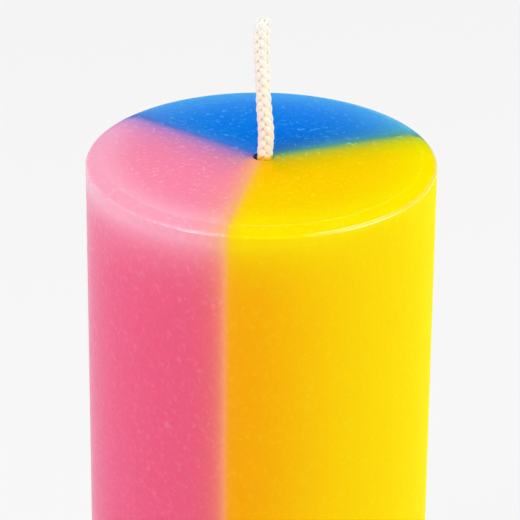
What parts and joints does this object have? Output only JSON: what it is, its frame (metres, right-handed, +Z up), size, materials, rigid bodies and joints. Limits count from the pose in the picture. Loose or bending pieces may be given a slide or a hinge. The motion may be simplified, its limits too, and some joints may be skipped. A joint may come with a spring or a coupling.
{
  "type": "pillar candle",
  "caption": "Round pillar candle poured in pink, yellow and blue wedges of wax, with a braided cotton wick held by a stamped metal sustainer in its base.",
  "frame": {"origin": "centre of the flat base, on the surface that the candle stands on", "axes": "+Z up along the candle's axis and the wick; -Y towards the viewer, on the side where the pink and yellow pours meet; +X to the viewer's right"},
  "size_m": [0.07, 0.07, 0.1798],
  "materials": {
    "pink_wax": "satin paraffin wax, dyed pink, slightly translucent",
    "yellow_wax": "satin paraffin wax, dyed yellow, slightly translucent",
    "blue_wax": "satin paraffin wax, dyed blue, slightly translucent",
    "tin_plate": "bright tin-plated sheet steel",
    "cotton": "bleached cotton yarn, matt"
  },
  "bodies": {
    "root": {"pink_wax": "pink_wax", "yellow_wax": "yellow_wax", "blue_wax": "blue_wax", "wick_sustainer": "tin_plate", "wick_strand_1": "cotton", "wick_strand_2": "cotton", "wick_strand_3": "cotton", "wick_strand_4": "cotton", "wick_strand_5": "cotton", "wick_strand_6": "cotton", "wick_strand_7": "cotton", "wick_strand_8": "cotton", "wick_strand_9": "cotton", "wick_strand_10": "cotton", "wick_strand_11": "cotton", "wick_strand_12": "cotton"}
  },
  "joints": []
}
